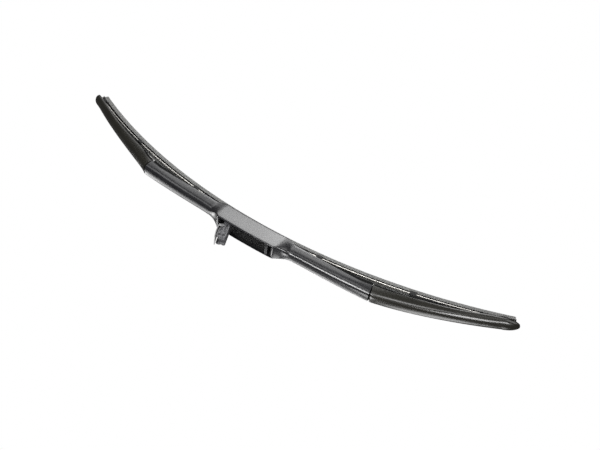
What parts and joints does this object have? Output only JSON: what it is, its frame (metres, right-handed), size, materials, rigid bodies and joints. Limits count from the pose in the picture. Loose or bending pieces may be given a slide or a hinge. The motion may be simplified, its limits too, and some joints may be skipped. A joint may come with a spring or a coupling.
{
  "type": "wiper blade",
  "caption": "Curved hybrid windscreen wiper blade: three spoiler covers over a folding steel lever frame, rubber element with steel strips, and a swing-out adaptor for a bent arm hook",
  "frame": {"origin": "axis of the arm pin, in the mid plane of the blade", "axes": "+X along the blade to its right tip (the longer side from the pin), +Z away from the glass through the recess, +Y towards the front of the covers, the side with the ridge"},
  "size_m": [0.5978, 0.0188, 0.1209],
  "materials": {
    "cover_plastic": "satin black moulded plastic",
    "tip_cover_plastic": "satin black moulded plastic, slightly warmer",
    "lever_paint": "black powder coat",
    "yoke_paint": "black powder coat",
    "rubber": "matt natural rubber with graphite",
    "spring_steel": "rolled stainless spring steel",
    "pin_steel": "zinc plated",
    "liner_plastic": "black nylon",
    "adaptor_plastic": "grey moulded plastic",
    "lid_plastic": "black moulded plastic"
  },
  "bodies": {
    "centre": {"centre_cover": "cover_plastic", "bridge": "lever_paint", "arm_pin": "pin_steel", "left_hinge_rivet": "pin_steel", "right_hinge_rivet": "pin_steel", "left_hinge_washers": "liner_plastic", "right_hinge_washers": "liner_plastic"},
    "element": {"rubber_element": "rubber", "front_steel_strip": "spring_steel", "rear_steel_strip": "spring_steel"},
    "left_section": {"left_lever": "lever_paint", "left_end_cover": "tip_cover_plastic", "left_outer_yoke_rivet": "pin_steel", "left_inner_yoke_rivet": "pin_steel", "left_outer_yoke_liner": "liner_plastic", "left_inner_yoke_liner": "liner_plastic"},
    "left_tip_claws": {"left_outer_yoke": "yoke_paint"},
    "left_middle_claws": {"left_inner_yoke": "yoke_paint"},
    "right_section": {"right_lever": "lever_paint", "right_end_cover": "tip_cover_plastic", "right_outer_yoke_rivet": "pin_steel", "right_inner_yoke_rivet": "pin_steel", "right_outer_yoke_liner": "liner_plastic", "right_inner_yoke_liner": "liner_plastic"},
    "right_tip_claws": {"right_outer_yoke": "yoke_paint"},
    "right_middle_claws": {"right_inner_yoke": "yoke_paint"},
    "adaptor": {"adaptor_body": "adaptor_plastic"},
    "lid": {"adaptor_lid": "lid_plastic"}
  },
  "joints": [
    {"name": "right_fold", "type": "hinge", "parent": "centre", "child": "right_section", "pos_m": [0.17636, 0, -0.01939], "axis": [0, -1, 0], "range_deg": [0, 6], "stiffness_Nm_per_rad": 2.5},
    {"name": "left_fold", "type": "hinge", "parent": "centre", "child": "left_section", "pos_m": [-0.13077, 0, -0.01939], "axis": [0, 1, 0], "range_deg": [0, 6]},
    {"name": "right_tip_claws_turn", "type": "hinge", "parent": "right_section", "child": "right_tip_claws", "pos_m": [0.26217, 0, -0.05141], "axis": [0, -1, 0], "range_deg": [0, 3.6]},
    {"name": "right_middle_claws_turn", "type": "hinge", "parent": "right_section", "child": "right_middle_claws", "pos_m": [0.08403, 0, -0.0122], "axis": [0, 1, 0], "range_deg": [0, 3.6]},
    {"name": "left_tip_claws_turn", "type": "hinge", "parent": "left_section", "child": "left_tip_claws", "pos_m": [-0.21658, 0, -0.05141], "axis": [0, 1, 0], "range_deg": [0, 3.6]},
    {"name": "left_middle_claws_turn", "type": "hinge", "parent": "left_section", "child": "left_middle_claws", "pos_m": [-0.03844, 0, -0.0122], "axis": [0, -1, 0], "range_deg": [0, 3.6]},
    {"name": "element_drop", "type": "slide", "parent": "centre", "child": "element", "axis": [0, 0, -1], "range_m": [0, 0.0109], "deforming": ["rubber_element", "front_steel_strip", "rear_steel_strip"]},
    {"name": "adaptor_swing", "type": "hinge", "parent": "centre", "child": "adaptor", "pos_m": [0, 0, 0], "axis": [0, 1, 0], "range_deg": [-20, 66]},
    {"name": "lid_swing", "type": "hinge", "parent": "adaptor", "child": "lid", "pos_m": [0.00027, 0, 0.01192], "axis": [0, -1, 0], "range_deg": [0, 75]}
  ],
  "couplings": [
    {"joint": "left_fold", "follows": "right_fold", "ratio": 1},
    {"joint": "right_tip_claws_turn", "follows": "right_fold", "ratio": 0.5987},
    {"joint": "right_middle_claws_turn", "follows": "right_fold", "ratio": 0.5987},
    {"joint": "left_tip_claws_turn", "follows": "right_fold", "ratio": 0.5987},
    {"joint": "left_middle_claws_turn", "follows": "right_fold", "ratio": 0.5987},
    {"joint": "element_drop", "follows": "right_fold", "m_per_rad": 0.1024}
  ]
}
